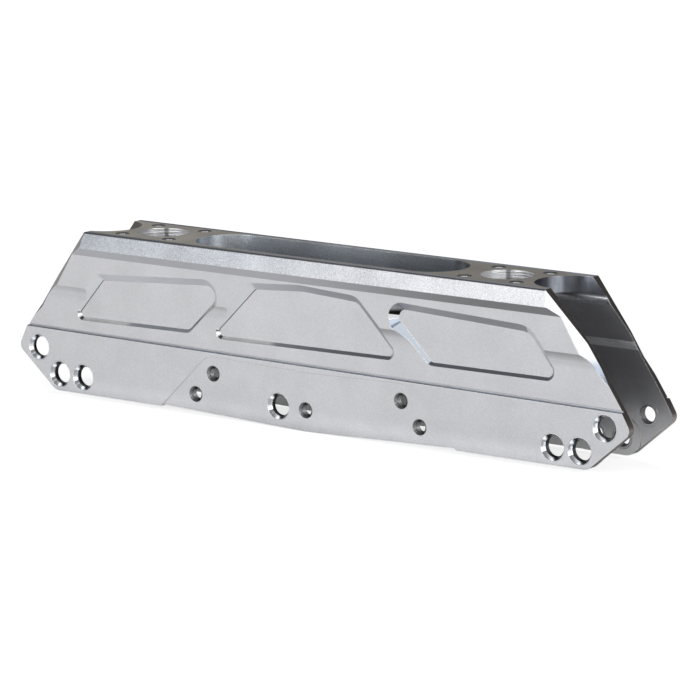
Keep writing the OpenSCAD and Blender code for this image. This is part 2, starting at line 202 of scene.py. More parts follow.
class StageSettings(bpy.types.PropertyGroup):
    """Floor, lamps and camera."""

    floor: FloatVectorProperty(
        name="Floor", description="Colour of the floor",
        default=(0.9, 0.9, 0.9), min=0, max=1, size=3, subtype="COLOR",
    )
    floor_glow: FloatProperty(
        name="Floor glow", description="White that the camera sees over the lit floor",
        default=0.66, min=0, max=1,
    )
    floor_shine: FloatProperty(
        name="Floor shine", description="White that the metal sees over the lit floor",
        default=0.42, min=0, max=1,
    )
    surroundings: FloatVectorProperty(
        name="Surroundings", description="Colour of the room that the metal reflects",
        default=(0.25, 0.243, 0.236), min=0, max=1, size=3, subtype="COLOR",
    )
    azimuth: FloatProperty(
        name="Azimuth", description="Direction of the camera round the frame",
        default=math.radians(35.469), subtype="ANGLE",
    )
    elevation: FloatProperty(
        name="Elevation", description="Height of the camera over the horizon",
        default=math.radians(11.176), subtype="ANGLE",
    )
    distance: FloatProperty(
        name="Distance", description="Distance from the camera to the frame",
        default=1.68365, min=0.5, max=5, precision=4, unit="LENGTH",
    )


# Node trees


def add_node(tree, kind, inputs=None, **settings):
    """Add a node with its settings and its sockets' values or links."""
    node = tree.nodes.new(kind)
    for name, value in settings.items():
        setattr(node, name, value)
    for key, value in (inputs or {}).items():
        if isinstance(value, bpy.types.NodeSocket):
            tree.links.new(value, node.inputs[key])
        else:
            node.inputs[key].default_value = value
    return node


def add_maths(tree, operation, *values):
    """Add a maths node and return its result."""
    return add_node(
        tree, "ShaderNodeMath", dict(enumerate(values)), operation=operation
    ).outputs[0]


def add_noise(tree, inputs, **settings):
    """Add a noise texture and return its value."""
    return add_node(tree, "ShaderNodeTexNoise", inputs, **settings).outputs["Fac"]


def object_place(tree):
    """Add a node that reads the place on the piece in metres."""
    return add_node(tree, "ShaderNodeTexCoord").outputs["Object"]


def effect_group(name, own_sockets):
    """Add an effect's node group, with its own sockets and those that all effects have."""
    tree = bpy.data.node_groups.new(name, "ShaderNodeTree")
    shared_sockets = (
        ("Shade Change", "NodeSocketFloat", 0.1),
        ("Roughness", "NodeSocketFloat", 0.3),
        ("Roughness Change", "NodeSocketFloat", 0.1),
        ("Color", "NodeSocketColor", (0.6, 0.6, 0.6, 1)),
    )
    for label, kind, default in (*own_sockets, *shared_sockets):
        socket = tree.interface.new_socket(label, in_out="INPUT", socket_type=kind)
        socket.default_value = default
    for label, kind in (
        ("Color", "NodeSocketColor"),
        ("Roughness", "NodeSocketFloat"),
        ("Height", "NodeSocketFloat"),
    ):
        tree.interface.new_socket(label, in_out="OUTPUT", socket_type=kind)
    return tree, tree.nodes.new("NodeGroupInput").outputs


def finish_group(tree, given, pattern, height):
    """Link a pattern round zero to the group's colour and roughness, and its height."""
    shade = add_maths(tree, "MULTIPLY_ADD", pattern, given["Shade Change"], 1.0)
    colour = add_node(
        tree, "ShaderNodeVectorMath", {0: given["Color"], "Scale": shade}, operation="SCALE"
    ).outputs[0]
    rough = add_maths(
        tree, "MULTIPLY_ADD", pattern, given["Roughness Change"], given["Roughness"]
    )
    add_node(
        tree, "NodeGroupOutput", {"Color": colour, "Roughness": rough, "Height": height}
    )
    return tree


def blasted_grain_group():
    """Pits and specks of a bead-blasted or satin face."""
    cloud_scale, cloud_share = 60.0, 0.4
    tree, given = effect_group(
        "blasted_grain", (("Grain Size", "NodeSocketFloat", 0.4 * MM),)
    )
    place = object_place(tree)
    scale = add_maths(tree, "DIVIDE", 1.0, given["Grain Size"])
    fine = add_noise(tree, {"Vector": place, "Scale": scale, "Detail": 2.0, "Roughness": 0.6})
    cloud = add_noise(tree, {"Vector": place, "Scale": cloud_scale, "Detail": 3.0})
    pits = add_maths(tree, "SUBTRACT", fine, 0.5)
    drift = add_maths(tree, "SUBTRACT", cloud, 0.5)
    pattern = add_maths(tree, "MULTIPLY_ADD", drift, cloud_share, pits)
    return finish_group(tree, given, pattern, fine)


def cutter_streaks_group():
    """Marks that a milling cutter leaves along its path, over a fine grain."""
    speck_scale, speck_share = 2600.0, 0.35
    tree, given = effect_group("cutter_streaks", (
        ("Streak Width", "NodeSocketFloat", 0.8 * MM),
        ("Stretch", "NodeSocketVector", (1, 1, 0.04)),
    ))
    place = object_place(tree)
    drawn = add_node(
        tree, "ShaderNodeVectorMath", {0: place, 1: given["Stretch"]}, operation="MULTIPLY"
    ).outputs[0]
    scale = add_maths(tree, "DIVIDE", 1.0, given["Streak Width"])
    streak = add_noise(
        tree, {"Vector": drawn, "Scale": scale, "Detail": 3.0, "Roughness": 0.55}
    )
    specks = add_noise(tree, {"Vector": place, "Scale": speck_scale, "Detail": 1.0})
    height = add_maths(tree, "MULTIPLY_ADD", specks, speck_share, streak)
    pattern = add_maths(tree, "SUBTRACT", height, 0.67)
    return finish_group(tree, given, pattern, height)


def turning_lines_group():
    """Fine rings that a lathe tool leaves, read from the piece's turning attribute."""
    speck_scale, speck_share = 1800.0, 0.3
    tree, given = effect_group(
        "turning_lines", (("Line Width", "NodeSocketFloat", 0.1 * MM),)
    )
    turned = add_node(tree, "ShaderNodeAttribute", attribute_name=TURNING).outputs["Fac"]
    line_place = add_maths(tree, "DIVIDE", turned, given["Line Width"])
    lines = add_noise(
        tree, {"W": line_place, "Scale": 1.0, "Detail": 2.0}, noise_dimensions="1D"
    )
    specks = add_noise(
        tree, {"Vector": object_place(tree), "Scale": speck_scale, "Detail": 2.0}
    )
    height = add_maths(tree, "MULTIPLY_ADD", specks, speck_share, lines)
    pattern = add_maths(tree, "SUBTRACT", height, 0.65)
    return finish_group(tree, given, pattern, height)


EFFECTS = {
    "blasted_grain": blasted_grain_group,
    "cutter_streaks": cutter_streaks_group,
    "turning_lines": turning_lines_group,
}


def metal(name, colour, effect, values, bump, bump_height):
    """Make a bare metal whose colour, roughness and bump come from one effect."""
    made = bpy.data.materials.get(name)
    if made:
        return made
    made = bpy.data.materials.new(name)
    made.use_nodes = True
    tree = made.node_tree
    shader = tree.nodes["Principled BSDF"]
    shader.inputs["Metallic"].default_value = 1.0
    group = bpy.data.node_groups.get(effect) or EFFECTS[effect]()
    effect_node = add_node(
        tree, "ShaderNodeGroup", {**values, "Color": (*colour, 1)}, node_tree=group
    )
    bumped = add_node(
        tree, "ShaderNodeBump",
        {"Strength": bump, "Distance": bump_height, "Height": effect_node.outputs["Height"]},
    )
    tree.links.new(effect_node.outputs["Color"], shader.inputs["Base Color"])
    tree.links.new(effect_node.outputs["Roughness"], shader.inputs["Roughness"])
    tree.links.new(bumped.outputs["Normal"], shader.inputs["Normal"])
    return made


def shaded(colour, factor=1):
    """The colour made lighter or darker, as a node's four values."""
    return tuple(min(value * factor, 1) for value in colour[:3]) + (1,)


def graded(tree, value, span, first, last, **settings):
    """Add a colour that goes from one to another as a value crosses a span in mm."""
    start, end = span
    part = add_node(
        tree, "ShaderNodeMapRange",
        {"Value": value, "From Min": start * MM, "From Max": end * MM}, **settings,
    )
    return add_node(
        tree, "ShaderNodeMix", {0: part.outputs["Result"], 6: first, 7: last}, data_type="RGBA"
    ).outputs[2]


def along(tree, axis, span, first, last):
    """Add a colour that goes smoothly from one to another along an axis."""
    place = add_node(tree, "ShaderNodeSeparateXYZ", {0: object_place(tree)})
    return graded(
        tree, place.outputs[axis], span, first, last, interpolation_type="SMOOTHERSTEP"
    )


def by_radius(tree, span, first, last):
    """Add a colour that goes from one to another between two radii of a turned ring."""
    radius = add_node(tree, "ShaderNodeAttribute", attribute_name=RADIUS).outputs["Fac"]
    return graded(tree, radius, span, first, last)


def recolour(made, colour):
    """Give the metal's effect a colour that comes from other nodes."""
    effect_node = next(node for node in made.node_tree.nodes if node.type == "GROUP")
    made.node_tree.links.new(colour, effect_node.inputs["Color"])
    return made


# Finishes, several with painted light and shade in their colours


def finishes(context):
    """The colours and grain that a user can change."""
    return context.scene.skate_frame_finishes


def satin_metal(context, name):
    """The fine satin finish of the side walls."""
    return metal(
        name, finishes(context).satin, "blasted_grain",
        {"Grain Size": 0.32 * MM, "Shade Change": 0.5, "Roughness": 0.40,
         "Roughness Change": 0.12},
        bump=0.15 * finishes(context).grain, bump_height=0.02 * MM,
    )


def satin_walls(context):
    """The walls, with a painted reflection lightening the rails' lower edges and painted shade a
    little darker at the rear.
    """
    shaded_rear_part, lit_lower_edge = (-20, 80), (2, 11)
    made = satin_metal(context, "satin_walls")
    tree, satin = made.node_tree, finishes(context).satin
    walls = along(tree, "X", shaded_rear_part, shaded(satin), shaded(satin, 0.95))
    return recolour(made, along(tree, "Z", lit_lower_edge, shaded(satin, 1.2), walls))


def cove_walls(context):
    """The cove along the walls, with painted shade that darkens it towards its upper edge in the
    rear part and a little painted light at its foot.
    """
    middle = (-12, 30)
    made = satin_metal(context, "cove_walls")
    tree, satin = made.node_tree, finishes(context).satin
    edge = along(tree, "X", middle, shaded(satin), shaded(satin, 0.74))
    return recolour(
        made, along(tree, "Z", (COVE_LOW, COVE_TOP), shaded(satin, 1.08), edge)
    )


def blasted_top(context):
    """The blasted top face, painted lighter towards the front, with a painted dark reflection along
    each long edge.
    """
    whole_face, reflection_strip_fade = (-140, 100), (-80, 40)
    left_reflection_strip, right_reflection_strip = (-17.2, -16.4), (15.2, 16.4)
    made = metal(
        "blasted_top", finishes(context).blasted, "blasted_grain",
        {"Grain Size": 0.5 * MM, "Shade Change": 1.4, "Roughness": 0.46,
         "Roughness Change": 0.2},
        bump=0.5 * finishes(context).grain, bump_height=0.05 * MM,
    )
    tree, blasted, cool = made.node_tree, finishes(context).blasted, finishes(context).cool
    face = along(tree, "X", whole_face, shaded(blasted, 1.3), shaded(blasted, 0.95))
    strip = along(tree, "X", reflection_strip_fade, shaded(cool, 0.65), shaded(cool, 1.1))
    right_part = along(tree, "Y", right_reflection_strip, face, strip)
    return recolour(made, along(tree, "Y", left_reflection_strip, strip, right_part))


def blasted_bevels(context):
    """The blasted bevels along the top, with a painted reflection that turns them paler and less
    blue towards the rear and painted shade dark at their upper edges.
    """
    whole_bevel, shaded_upper_edge = (-120, 110), (67.8, 68.2)
    made = metal(
        "blasted_bevels", finishes(context).bevels, "blasted_grain",
        {"Grain Size": 0.48 * MM, "Shade Change": 1.25, "Roughness": 0.32,
         "Roughness Change": 0.2},
        bump=0.6 * finishes(context).grain, bump_height=0.06 * MM,
    )
    tree, bevels, satin = made.node_tree, finishes(context).bevels, finishes(context).satin
    face = along(tree, "X", whole_bevel, shaded(bevels, 1.03), shaded(satin, 0.94))
    return recolour(made, along(tree, "Z", shaded_upper_edge, face, shaded(bevels, 0.45)))


def cut_ends(context):
    """The grained cut ends in a colour darkened as painted shade, darker still above the rails."""
    shaded_above_rails = (15, 25)
    made = metal(
        "cut_ends", finishes(context).ends, "blasted_grain",
        {"Grain Size": 0.45 * MM, "Shade Change": 0.9, "Roughness": 0.44,
         "Roughness Change": 0.2},
        bump=0.4 * finishes(context).grain, bump_height=0.05 * MM,
    )
    ends = finishes(context).ends
    return recolour(
        made, along(made.node_tree, "Z", shaded_above_rails, shaded(ends), shaded(ends, 0.4))
    )


def milled_facets(context):
    """The end chamfers, bright above, with a painted cool reflection on their lower parts."""
    fade = (40, 46)
    made = metal(
        "milled_facets", finishes(context).milled, "cutter_streaks",
        {"Streak Width": 0.5 * MM, "Stretch": (1, 1, 0.1), "Shade Change": 0.15,
         "Roughness": 0.22, "Roughness Change": 0.1},
        bump=0.08, bump_height=0.02 * MM,
    )
    cool, milled = finishes(context).cool, finishes(context).milled
    return recolour(made, along(made.node_tree, "Z", fade, shaded(cool), shaded(milled)))


def milled_slots(context):
    """The slot's milled walls, with a painted highlight at the front end and painted shade that
    darkens them towards the rear and on the left.
    """
    highlight_front_end, middle, shaded_rear_end, shaded_left_side = (-58, -45), (0, 40), (49, 53), (-8, 2)
    made = metal(
        "milled_slots", finishes(context).slots, "blasted_grain",
        {"Grain Size": 0.5 * MM, "Shade Change": 1.3, "Roughness": 0.36,
         "Roughness Change": 0.2},
        bump=0.4, bump_height=0.06 * MM,
    )
    tree, slots = made.node_tree, finishes(context).slots
    wall = along(tree, "X", middle, shaded(slots, 0.85), shaded(slots, 0.5))
    wall = along(tree, "X", shaded_rear_end, wall, shaded(slots, 0.3))
    wall = along(tree, "X", highlight_front_end, shaded(slots, 1.3), wall)
    return recolour(made, along(tree, "Y", shaded_left_side, shaded(slots, 0.4), wall))


def milled_scoops(context):
    """The rear scoop's wall in a colour darkened as painted shade, with a painted highlight band on
    its curved end, painted light on its front side and more painted shade on its left.
    """
    lit_front_side, highlight_band, shaded_left_side = (97.8, 99.8), (103.5, 107.5), (2.5, 8.5)
    made = metal(
        "milled_scoops", finishes(context).scoops, "cutter_streaks",
        {"Streak Width": 2.2 * MM, "Stretch": (1, 1, 0.4), "Shade Change": 0.9,
         "Roughness": 0.34, "Roughness Change": 0.2},
        bump=0.4, bump_height=0.08 * MM,
    )
    tree, scoops = made.node_tree, finishes(context).scoops
    wall = along(tree, "X", highlight_band, shaded(scoops, 0.5), shaded(scoops, 1.9))
    wall = along(tree, "X", lit_front_side, shaded(scoops, 1.5), wall)
    return recolour(made, along(tree, "Y", shaded_left_side, shaded(scoops, 0.35), wall))


def cool_reflection_corners(context):
    """The windows' corners and the seams over the rails, in a painted cool reflection."""
    return metal(
        "cool_reflection_corners", finishes(context).cool, "cutter_streaks",
        {"Streak Width": 0.8 * MM, "Stretch": (1, 1, 1), "Shade Change": 0.3,
         "Roughness": 0.2, "Roughness Change": 0.1},
        bump=0.05, bump_height=0.02 * MM,
    )


def painted_shade_crescent(context):
    """Painted shade on the rear windows' upper corners, near black below and lighter grey towards
    their tops.
    """
    top_part = (CRESCENT_LOW + 1.6, CRESCENT_LOW + 3.8)
    made = metal(
        "painted_shade_crescent", finishes(context).crescent, "cutter_streaks",
        {"Streak Width": 3.0 * MM, "Stretch": (1, 1, 1), "Shade Change": 0.5,
         "Roughness": 0.2, "Roughness Change": 0.05},
        bump=0.05, bump_height=0.02 * MM,
    )
    dark, light = shaded(finishes(context).crescent, 0.1), shaded(finishes(context).bands, 0.75)
    return recolour(made, along(made.node_tree, "Z", top_part, dark, light))


def milled_steps(context):
    """The small milled steps and the windows' remaining sides."""
    return metal(
        "milled_steps", finishes(context).milled, "cutter_streaks",
        {"Streak Width": 0.5 * MM, "Stretch": (0.03, 1, 1), "Shade Change": 0.12,
         "Roughness": 0.16, "Roughness Change": 0.05},
        bump=0.04, bump_height=0.02 * MM,
    )


def band_metal(name, colour):
    """The plain finish of the narrow bands that run along the frame."""
    return metal(
        name, colour, "cutter_streaks",
        {"Streak Width": 0.5 * MM, "Stretch": (0.03, 1, 1), "Shade Change": 0.06,
         "Roughness": 0.34, "Roughness Change": 0.05},
        bump=0.05, bump_height=0.02 * MM,
    )


def plain_bands(context):
    """The bands under the bevels in a colour darkened as painted shade, darker still towards the
    rear.
    """
    shaded_rear_part, bands = (-40, 100), finishes(context).bands
    made = band_metal("plain_bands", bands)
    return recolour(made, along(
        made.node_tree, "X", shaded_rear_part, shaded(bands, 1.12), shaded(bands, 0.54)
    ))


def window_tops(context):
    """The windows' upper sides and other faces that look down, darkened as painted shade, more
    towards the rear.
    """
    bands = finishes(context).bands
    made = band_metal("window_tops", bands)
    return recolour(made, along(
        made.node_tree, "X", WINDOW_FADE, shaded(bands, 1.75), shaded(bands, 0.95)
    ))


def window_bottoms(context):
    """The windows' lower sides, with a painted reflection bright at the front of the first two and
    painted shade dark behind.
    """
    first_start, second_start, reflection_end = (-94, -88), (-56, -50), (-22, -16)
    scoops, bright = finishes(context).scoops, shaded(finishes(context).polished)
    made = band_metal("window_bottoms", scoops)
    tree = made.node_tree
    dark = along(tree, "X", WINDOW_FADE, shaded(scoops, 2.2), shaded(scoops, 1.1))
    side = along(tree, "X", first_start, bright, dark)
    side = along(tree, "X", second_start, side, bright)
    return recolour(made, along(tree, "X", reflection_end, side, dark))


def window_fronts(context):
    """The front windows' front slopes, with a thin line of painted shade along their feet."""
    foot, foot_end = FLOOR_SIDE + 0.15, FLOOR_SIDE + 0.35
    made = metal(
        "window_fronts", finishes(context).milled, "blasted_grain",
        {"Grain Size": 0.32 * MM, "Shade Change": 0.3, "Roughness": 0.5,
         "Roughness Change": 0.1},
        bump=0.1, bump_height=0.02 * MM,
    )
    tree, slope = made.node_tree, shaded(finishes(context).milled)
    line = shaded(finishes(context).milled, 0.12)
    left = along(tree, "Y", (-foot_end, -foot), slope, line)
    return recolour(made, along(tree, "Y", (foot, foot_end), left, slope))


def polished_bores(context):
    """The boot mounting holes' bright walls, each with one painted dark reflection streak in its
    front half.
    """
    reflection_streak_offset, half_dark, half_faded = 5.3, 0.3, 1.2
    made = metal(
        "polished_bores", finishes(context).polished, "cutter_streaks",
        {"Streak Width": 0.7 * MM, "Stretch": (0.05, 0.05, 1), "Shade Change": 0.5,
         "Roughness": 0.34, "Roughness Change": 0.2},
        bump=1.0, bump_height=0.35 * MM,
    )
    tree = made.node_tree
    wall = bright = shaded(finishes(context).polished)
    dark = shaded(finishes(context).bands, 0.8)
    for place in mount_places():
        streak = place.x - reflection_streak_offset
        wall = along(tree, "X", (streak - half_faded, streak - half_dark), wall, dark)
        wall = along(tree, "X", (streak + half_dark, streak + half_faded), wall, bright)
    return recolour(made, wall)


def channel_sides(context):
    """The channel's inner walls, with painted light that brightens them towards their lower edges.
    """
    lit_lower_part = (2, 20)
    made = metal(
        "channel_sides", finishes(context).channel, "cutter_streaks",
        {"Streak Width": 0.6 * MM, "Stretch": (0.02, 1, 1), "Shade Change": 0.06,
         "Roughness": 0.34, "Roughness Change": 0.06},
        bump=0.05, bump_height=0.02 * MM,
    )
    channel = finishes(context).channel
    return recolour(
        made, along(made.node_tree, "Z", lit_lower_part, shaded(channel, 1.6), shaded(channel))
    )


def seat_steel(context):
    """Turned steel, bright on the cone, with painted shade dark in the bore behind it."""
    bore_mouth = (4.15, 4.25)
    made = metal(
        "turned_seats", finishes(context).seat, "turning_lines",
        {"Line Width": 0.09 * MM, "Shade Change": 0.5, "Roughness": 0.15,
         "Roughness Change": 0.1},
        bump=0.2, bump_height=0.01 * MM,
    )
    seat = finishes(context).seat
    return recolour(
        made, by_radius(made.node_tree, bore_mouth, shaded(seat, 0.12), shaded(seat))
    )


def thread_steel(context):
    """Thread turns darkened as painted shade, in a ring whose flat ends look like the channel's
    walls.
    """
    thread_edge = (3.5, 3.7)
    made = metal(
        "turned_threads", finishes(context).thread, "turning_lines",
        {"Line Width": 0.12 * MM, "Shade Change": 0.2, "Roughness": 0.28,
         "Roughness Change": 0.15},
        bump=0.2, bump_height=0.01 * MM,
    )
    thread, channel = shaded(finishes(context).thread), shaded(finishes(context).channel)
    return recolour(made, by_radius(made.node_tree, thread_edge, thread, channel))


def mount_steel(context):
    """Bright thread turns below a countersink darkened as a painted dark reflection."""
    thread_edge = (2.2, 2.5)
    made = metal(
        "turned_mounts", finishes(context).seat, "turning_lines",
        {"Line Width": 0.1 * MM, "Shade Change": 0.6, "Roughness": 0.25,
         "Roughness Change": 0.1},
        bump=0.3, bump_height=0.02 * MM,
    )
    seat = finishes(context).seat
    return recolour(
        made, by_radius(made.node_tree, thread_edge, shaded(seat, 0.7), shaded(seat, 0.2))
    )


def insert_steel(context):
    """The guard inserts' turned steel, darkened as a painted dark reflection."""
    return metal(
        "turned_inserts", finishes(context).insert, "turning_lines",
        {"Line Width": 0.1 * MM, "Shade Change": 0.15, "Roughness": 0.2,
         "Roughness Change": 0.1},
        bump=0.2, bump_height=0.01 * MM,
    )


# Modelling helpers


def only(piece):
    """Select one piece and nothing else."""
    bpy.ops.object.select_all(action="DESELECT")
    piece.hide_set(False)
    piece.select_set(True)
    bpy.context.view_layer.objects.active = piece


def finish_piece(piece, slot, *nodes):
    """Put a finished piece on the frame in place of the CAD nodes it stands for."""
    only(piece)
    bpy.ops.object.transform_apply(location=True, rotation=True, scale=True)
    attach(piece, "root")
    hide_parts(*nodes)


def merged_copy(node, name):
    """Copy a CAD node and merge its loose triangles into flat faces."""
    piece = bpy.data.objects.new(name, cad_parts[node].data.copy())
    bpy.context.scene.collection.objects.link(piece)
    piece.data.materials.clear()
    only(piece)
    bpy.ops.object.mode_set(mode="EDIT")
    bpy.ops.mesh.select_all(action="SELECT")
    bpy.ops.mesh.customdata_custom_splitnormals_clear()
    bpy.ops.mesh.remove_doubles(threshold=MERGE_DISTANCE)
    bpy.ops.mesh.dissolve_degenerate(threshold=0.01 * MM)
    bpy.ops.mesh.dissolve_limited(angle_limit=math.radians(0.3))
    bpy.ops.object.mode_set(mode="OBJECT")
    return piece


def break_edges(piece, width):
    """Round the edges finely wherever two faces meet at an angle."""
    only(piece)
    bevel = piece.modifiers.new("edge_break", "BEVEL")
    bevel.width = width
    bevel.segments = 2
    bevel.limit_method = "ANGLE"
    bevel.angle_limit = math.radians(24)
    bevel.use_clamp_overlap = False
    bevel.loop_slide = False
    bevel.miter_outer = "MITER_ARC"
    bpy.ops.object.modifier_apply(modifier=bevel.name)
    bpy.ops.object.shade_smooth_by_angle(angle=math.radians(40))
    weighted = piece.modifiers.new("flat_faces", "WEIGHTED_NORMAL")
    weighted.keep_sharp = True
    weighted.weight = 100
    bpy.ops.object.modifier_apply(modifier=weighted.name)


def split_faces(piece):
    """Cut the faces with many corners into triangles and keep their shading."""
    only(piece)
    split = piece.modifiers.new("split_faces", "TRIANGULATE")
    split.min_vertices = 5
    split.keep_custom_normals = True
    bpy.ops.object.modifier_apply(modifier=split.name)


def add_values(mesh, name, values):
    """Store one value for each of a mesh's points."""
    mesh.attributes.new(name, "FLOAT", "POINT").data.foreach_set("value", values)


def turned_ring(name, profile, steps):
    """Turn a closed ring round the Z axis from its profile's (radius, depth) points in mm."""
    bpy.ops.object.select_all(action="DESELECT")
    bpy.ops.mesh.primitive_circle_add(
        vertices=steps, radius=profile[0][0] * MM, location=(0, 0, profile[0][1] * MM)
    )
    ring = bpy.context.object
    ring.name = name
    bpy.ops.object.transform_apply(location=True)
    bpy.ops.object.mode_set(mode="EDIT")
    bpy.ops.mesh.select_all(action="SELECT")
    for (radius, depth), (next_radius, next_depth) in zip(profile, profile[1:] + profile[:1]):
        bpy.ops.mesh.extrude_region_move(
            TRANSFORM_OT_translate={"value": (0, 0, (next_depth - depth) * MM)}
        )
        widening = next_radius / radius
        bpy.ops.transform.resize(
            value=(widening, widening, 1), center_override=(0, 0, next_depth * MM)
        )
    bpy.ops.mesh.select_all(action="SELECT")
    bpy.ops.mesh.remove_doubles(threshold=MERGE_DISTANCE)
    bpy.ops.mesh.normals_make_consistent(inside=False)
    bpy.ops.object.mode_set(mode="OBJECT")
    bpy.ops.object.shade_smooth_by_angle(angle=math.radians(28))
    points = [vertex.co for vertex in ring.data.vertices]
    add_values(ring.data, TURNING, [co.z - math.hypot(co.x, co.y) for co in points])
    add_values(ring.data, RADIUS, [co.xy.length for co in points])
    return ring


def threaded_bore(radius, start, end, pitch, depth):
    """Profile points of V-shaped thread turns along a bore from start to end, in mm."""
    turns = int((end - start) / pitch)
    first = start + ((end - start) - turns * pitch) / 2
    points = []
    for number in range(turns):
        begin = first + number * pitch
        points += [
            (radius, begin + 0.08 * pitch), (radius + depth, begin + 0.46 * pitch),
            (radius + depth, begin + 0.54 * pitch), (radius, begin + 0.92 * pitch),
        ]
    return points


def node_depth(node, axis):
    """A CAD node's size along one axis, in mm."""
    low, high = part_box(node)
    return (getattr(high, axis) - getattr(low, axis)) / MM


def set_copies(ring, material, slot, copies):
    """Set a copy of a ring in each (name, CAD node, side) and remove the pattern."""
    turns = {"left": -math.pi / 2, "right": math.pi / 2, "top": math.pi}
    ring.data.materials.append(material)
    for name, node, side in copies:
        only(ring)
        bpy.ops.object.duplicate(linked=False)
        piece = bpy.context.object
        piece.name = name
        piece.data.name = name
        low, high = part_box(node)
        place = node_middle(node)
        if side == "top":
            place.z = high.z
        else:
            place.y = low.y if side == "left" else high.y
        piece.location = place
        piece.rotation_euler = (turns[side], 0, 0)
        finish_piece(piece, slot, node)
    only(ring)
    bpy.ops.object.delete()


# Pieces


FRAME_FINISHES = (
    satin_walls, blasted_top, milled_slots, milled_steps, channel_sides, blasted_bevels,
    plain_bands, polished_bores, cut_ends, milled_facets, milled_scoops, cove_walls,
    painted_shade_crescent, window_tops, window_bottoms, cool_reflection_corners, window_fronts,
)


def mount_places():
    """Middles of the two boot mounting holes in mm, each amid its four inserts."""
    return [
        sum((node_middle(f"mount_insert_{end}_{number}") for number in MOUNT_NUMBERS), Vector())
        / len(MOUNT_NUMBERS) / MM
        for end in ("front", "rear")
    ]


def window_finish(centre, normal):
    """Choose the finish of a window's side or a seam in the walls, or none; dark and cool finishes
    on faces that look up paint their shade and reflections.
    """
    over_seam = centre.z > SEAM_TOP
    in_crescent = CRESCENT_START < centre.x < CRESCENT_END
    if in_crescent and centre.z > CRESCENT_LOW and normal.x > 0.1 and normal.z < -0.1:
        return painted_shade_crescent
    # Faces that look up take a dark or a cool finish as painted shade and reflection.
    if normal.z > 0.6:
        return window_bottoms if over_seam else cool_reflection_corners
    if FIRST_WINDOW_START < centre.x < FIRST_WINDOW_END and over_seam \
            and normal.x < -0.2 and normal.z > 0.15:
        return window_bottoms
    # The rear windows' lower corners take the cool finish as a painted reflection.
    if in_crescent and 0.15 < normal.z < 0.45 and normal.x > 0.4:
        return cool_reflection_corners
    return None


def face_finish(centre, normal, top, mounts):
    """Choose a face's finish from its middle in mm and its normal; lighter and darker copies of the
    aluminium paint light and shade by the way each face looks.

    A part of the normal near 1 or -1 means that the face looks along that axis.
    """
    side = abs(centre.y)
    outward = normal.y * math.copysign(1, centre.y)
    along_x = abs(normal.x) > 0.25
    if normal.z > 0.9 and centre.z > top - RIM_DEPTH:
        return blasted_top
    if side > BEVEL_SIDE and outward > 0.5 and centre.z > top - BAND_DEPTH:
        return blasted_bevels if centre.z > top - BEVEL_DEPTH else plain_bands
    if centre.z > top - PLATE_DEPTH:
        if any((centre - place).xy.length < MOUNT_REACH for place in mounts):
            return polished_bores
        if side < PLATE_SIDE and abs(normal.z) < 0.3:
            if abs(centre.x) < SLOT_REACH:
                return milled_slots
            # The front scoop's walls take the cut ends' dark colour as painted shade.
            return milled_scoops if centre.x > 0 else cut_ends
    # The inner walls' sloped steps take brighter finishes as a painted highlight, partly caught by
    # their bump.
    if side < INNER_SIDE and outward < -0.8 and normal.z > 0.08:
        return polished_bores if centre.z < INNER_STEP else milled_facets
    if side < INNER_SIDE and outward < 0.2 and abs(normal.x) < 0.5:
        return channel_sides
    if side > WINDOW_SIDE and centre.x < SECOND_WINDOW_END and centre.z > SEAM_TOP \
            and outward > 0.1 and normal.x > 0.2 and normal.z > -0.7:
        if normal.z < -0.2:
            return window_fronts
        # Window sides that look up take the milled steps' finish, the others the cut ends' dark
        # colour as painted shade.
        return milled_steps if 0.05 < normal.z < 0.5 else cut_ends
    if along_x and abs(centre.x) > RAIL_END and centre.z < RAIL_TOP and abs(outward) < 0.4:
        return cut_ends
    if along_x and abs(centre.x) > CHAMFER_START and centre.z > RAIL_TOP:
        return milled_facets if 0.4 < outward < 0.95 else cut_ends
    if outward > 0.97:
        return satin_walls
    if outward > 0.8 and COVE_LOW < centre.z < COVE_TOP and side > COVE_SIDE:
        return cove_walls
    if side > WINDOW_SIDE:
        finish = window_finish(centre, normal)
        if finish:
            return finish
    # Faces that look down take the window tops' darker finish as painted shade.
    return window_tops if outward > 0.3 and normal.z < -0.3 else milled_steps


class SKATE_OT_frame_shell(bpy.types.Operator):
    """Make the aluminium frame with broken edges and a finish for each machined zone"""

    bl_idname = "skate_frame.frame_shell"
    bl_label = "Frame"
    bl_options = {"REGISTER", "UNDO"}

    def execute(self, context):
        piece = merged_copy("frame_body", "frame_shell")
        for finish in FRAME_FINISHES:
            piece.data.materials.append(finish(context))
        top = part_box("frame_body")[1].z / MM
        mounts = mount_places()
        for face in piece.data.polygons:
            finish = face_finish(face.center / MM, face.normal, top, mounts)
            face.material_index = FRAME_FINISHES.index(finish)
        break_edges(piece, context.scene.skate_frame_sizes.edge_break)
        split_faces(piece)
        finish_piece(piece, "frame_aluminium", "frame_body")
        return {"FINISHED"}


class SKATE_OT_axle_seats(bpy.types.Operator):
    """Make the turned steel seats in the left wall's axle holes"""

    bl_idname = "skate_frame.axle_seats"
    bl_label = "Axle seats"
    bl_options = {"REGISTER", "UNDO"}

    def execute(self, context):
        outer, cone_mouth, bore = 5.4, 5.12, 4.0
        steel = seat_steel(context)
        for place in AXLE_PLACES:
            node = "axle_seat_" + place
            depth = node_depth(node, "y")
            ring = turned_ring("seat_pattern", [
                (outer, 0.06), (5.36, 0.01), (5.30, 0), (5.22, 0), (5.17, 0.03),
                (cone_mouth, 0.10), (4.10, 1.84), (4.03, 1.93), (bore, 2.05),
                (bore, depth - 0.3), (4.06, depth - 0.2), (4.24, depth), (outer, depth),
            ], context.scene.skate_frame_sizes.ring_steps)
            set_copies(ring, steel, "seat_steel", [("seat_" + place, node, "left")])
        return {"FINISHED"}


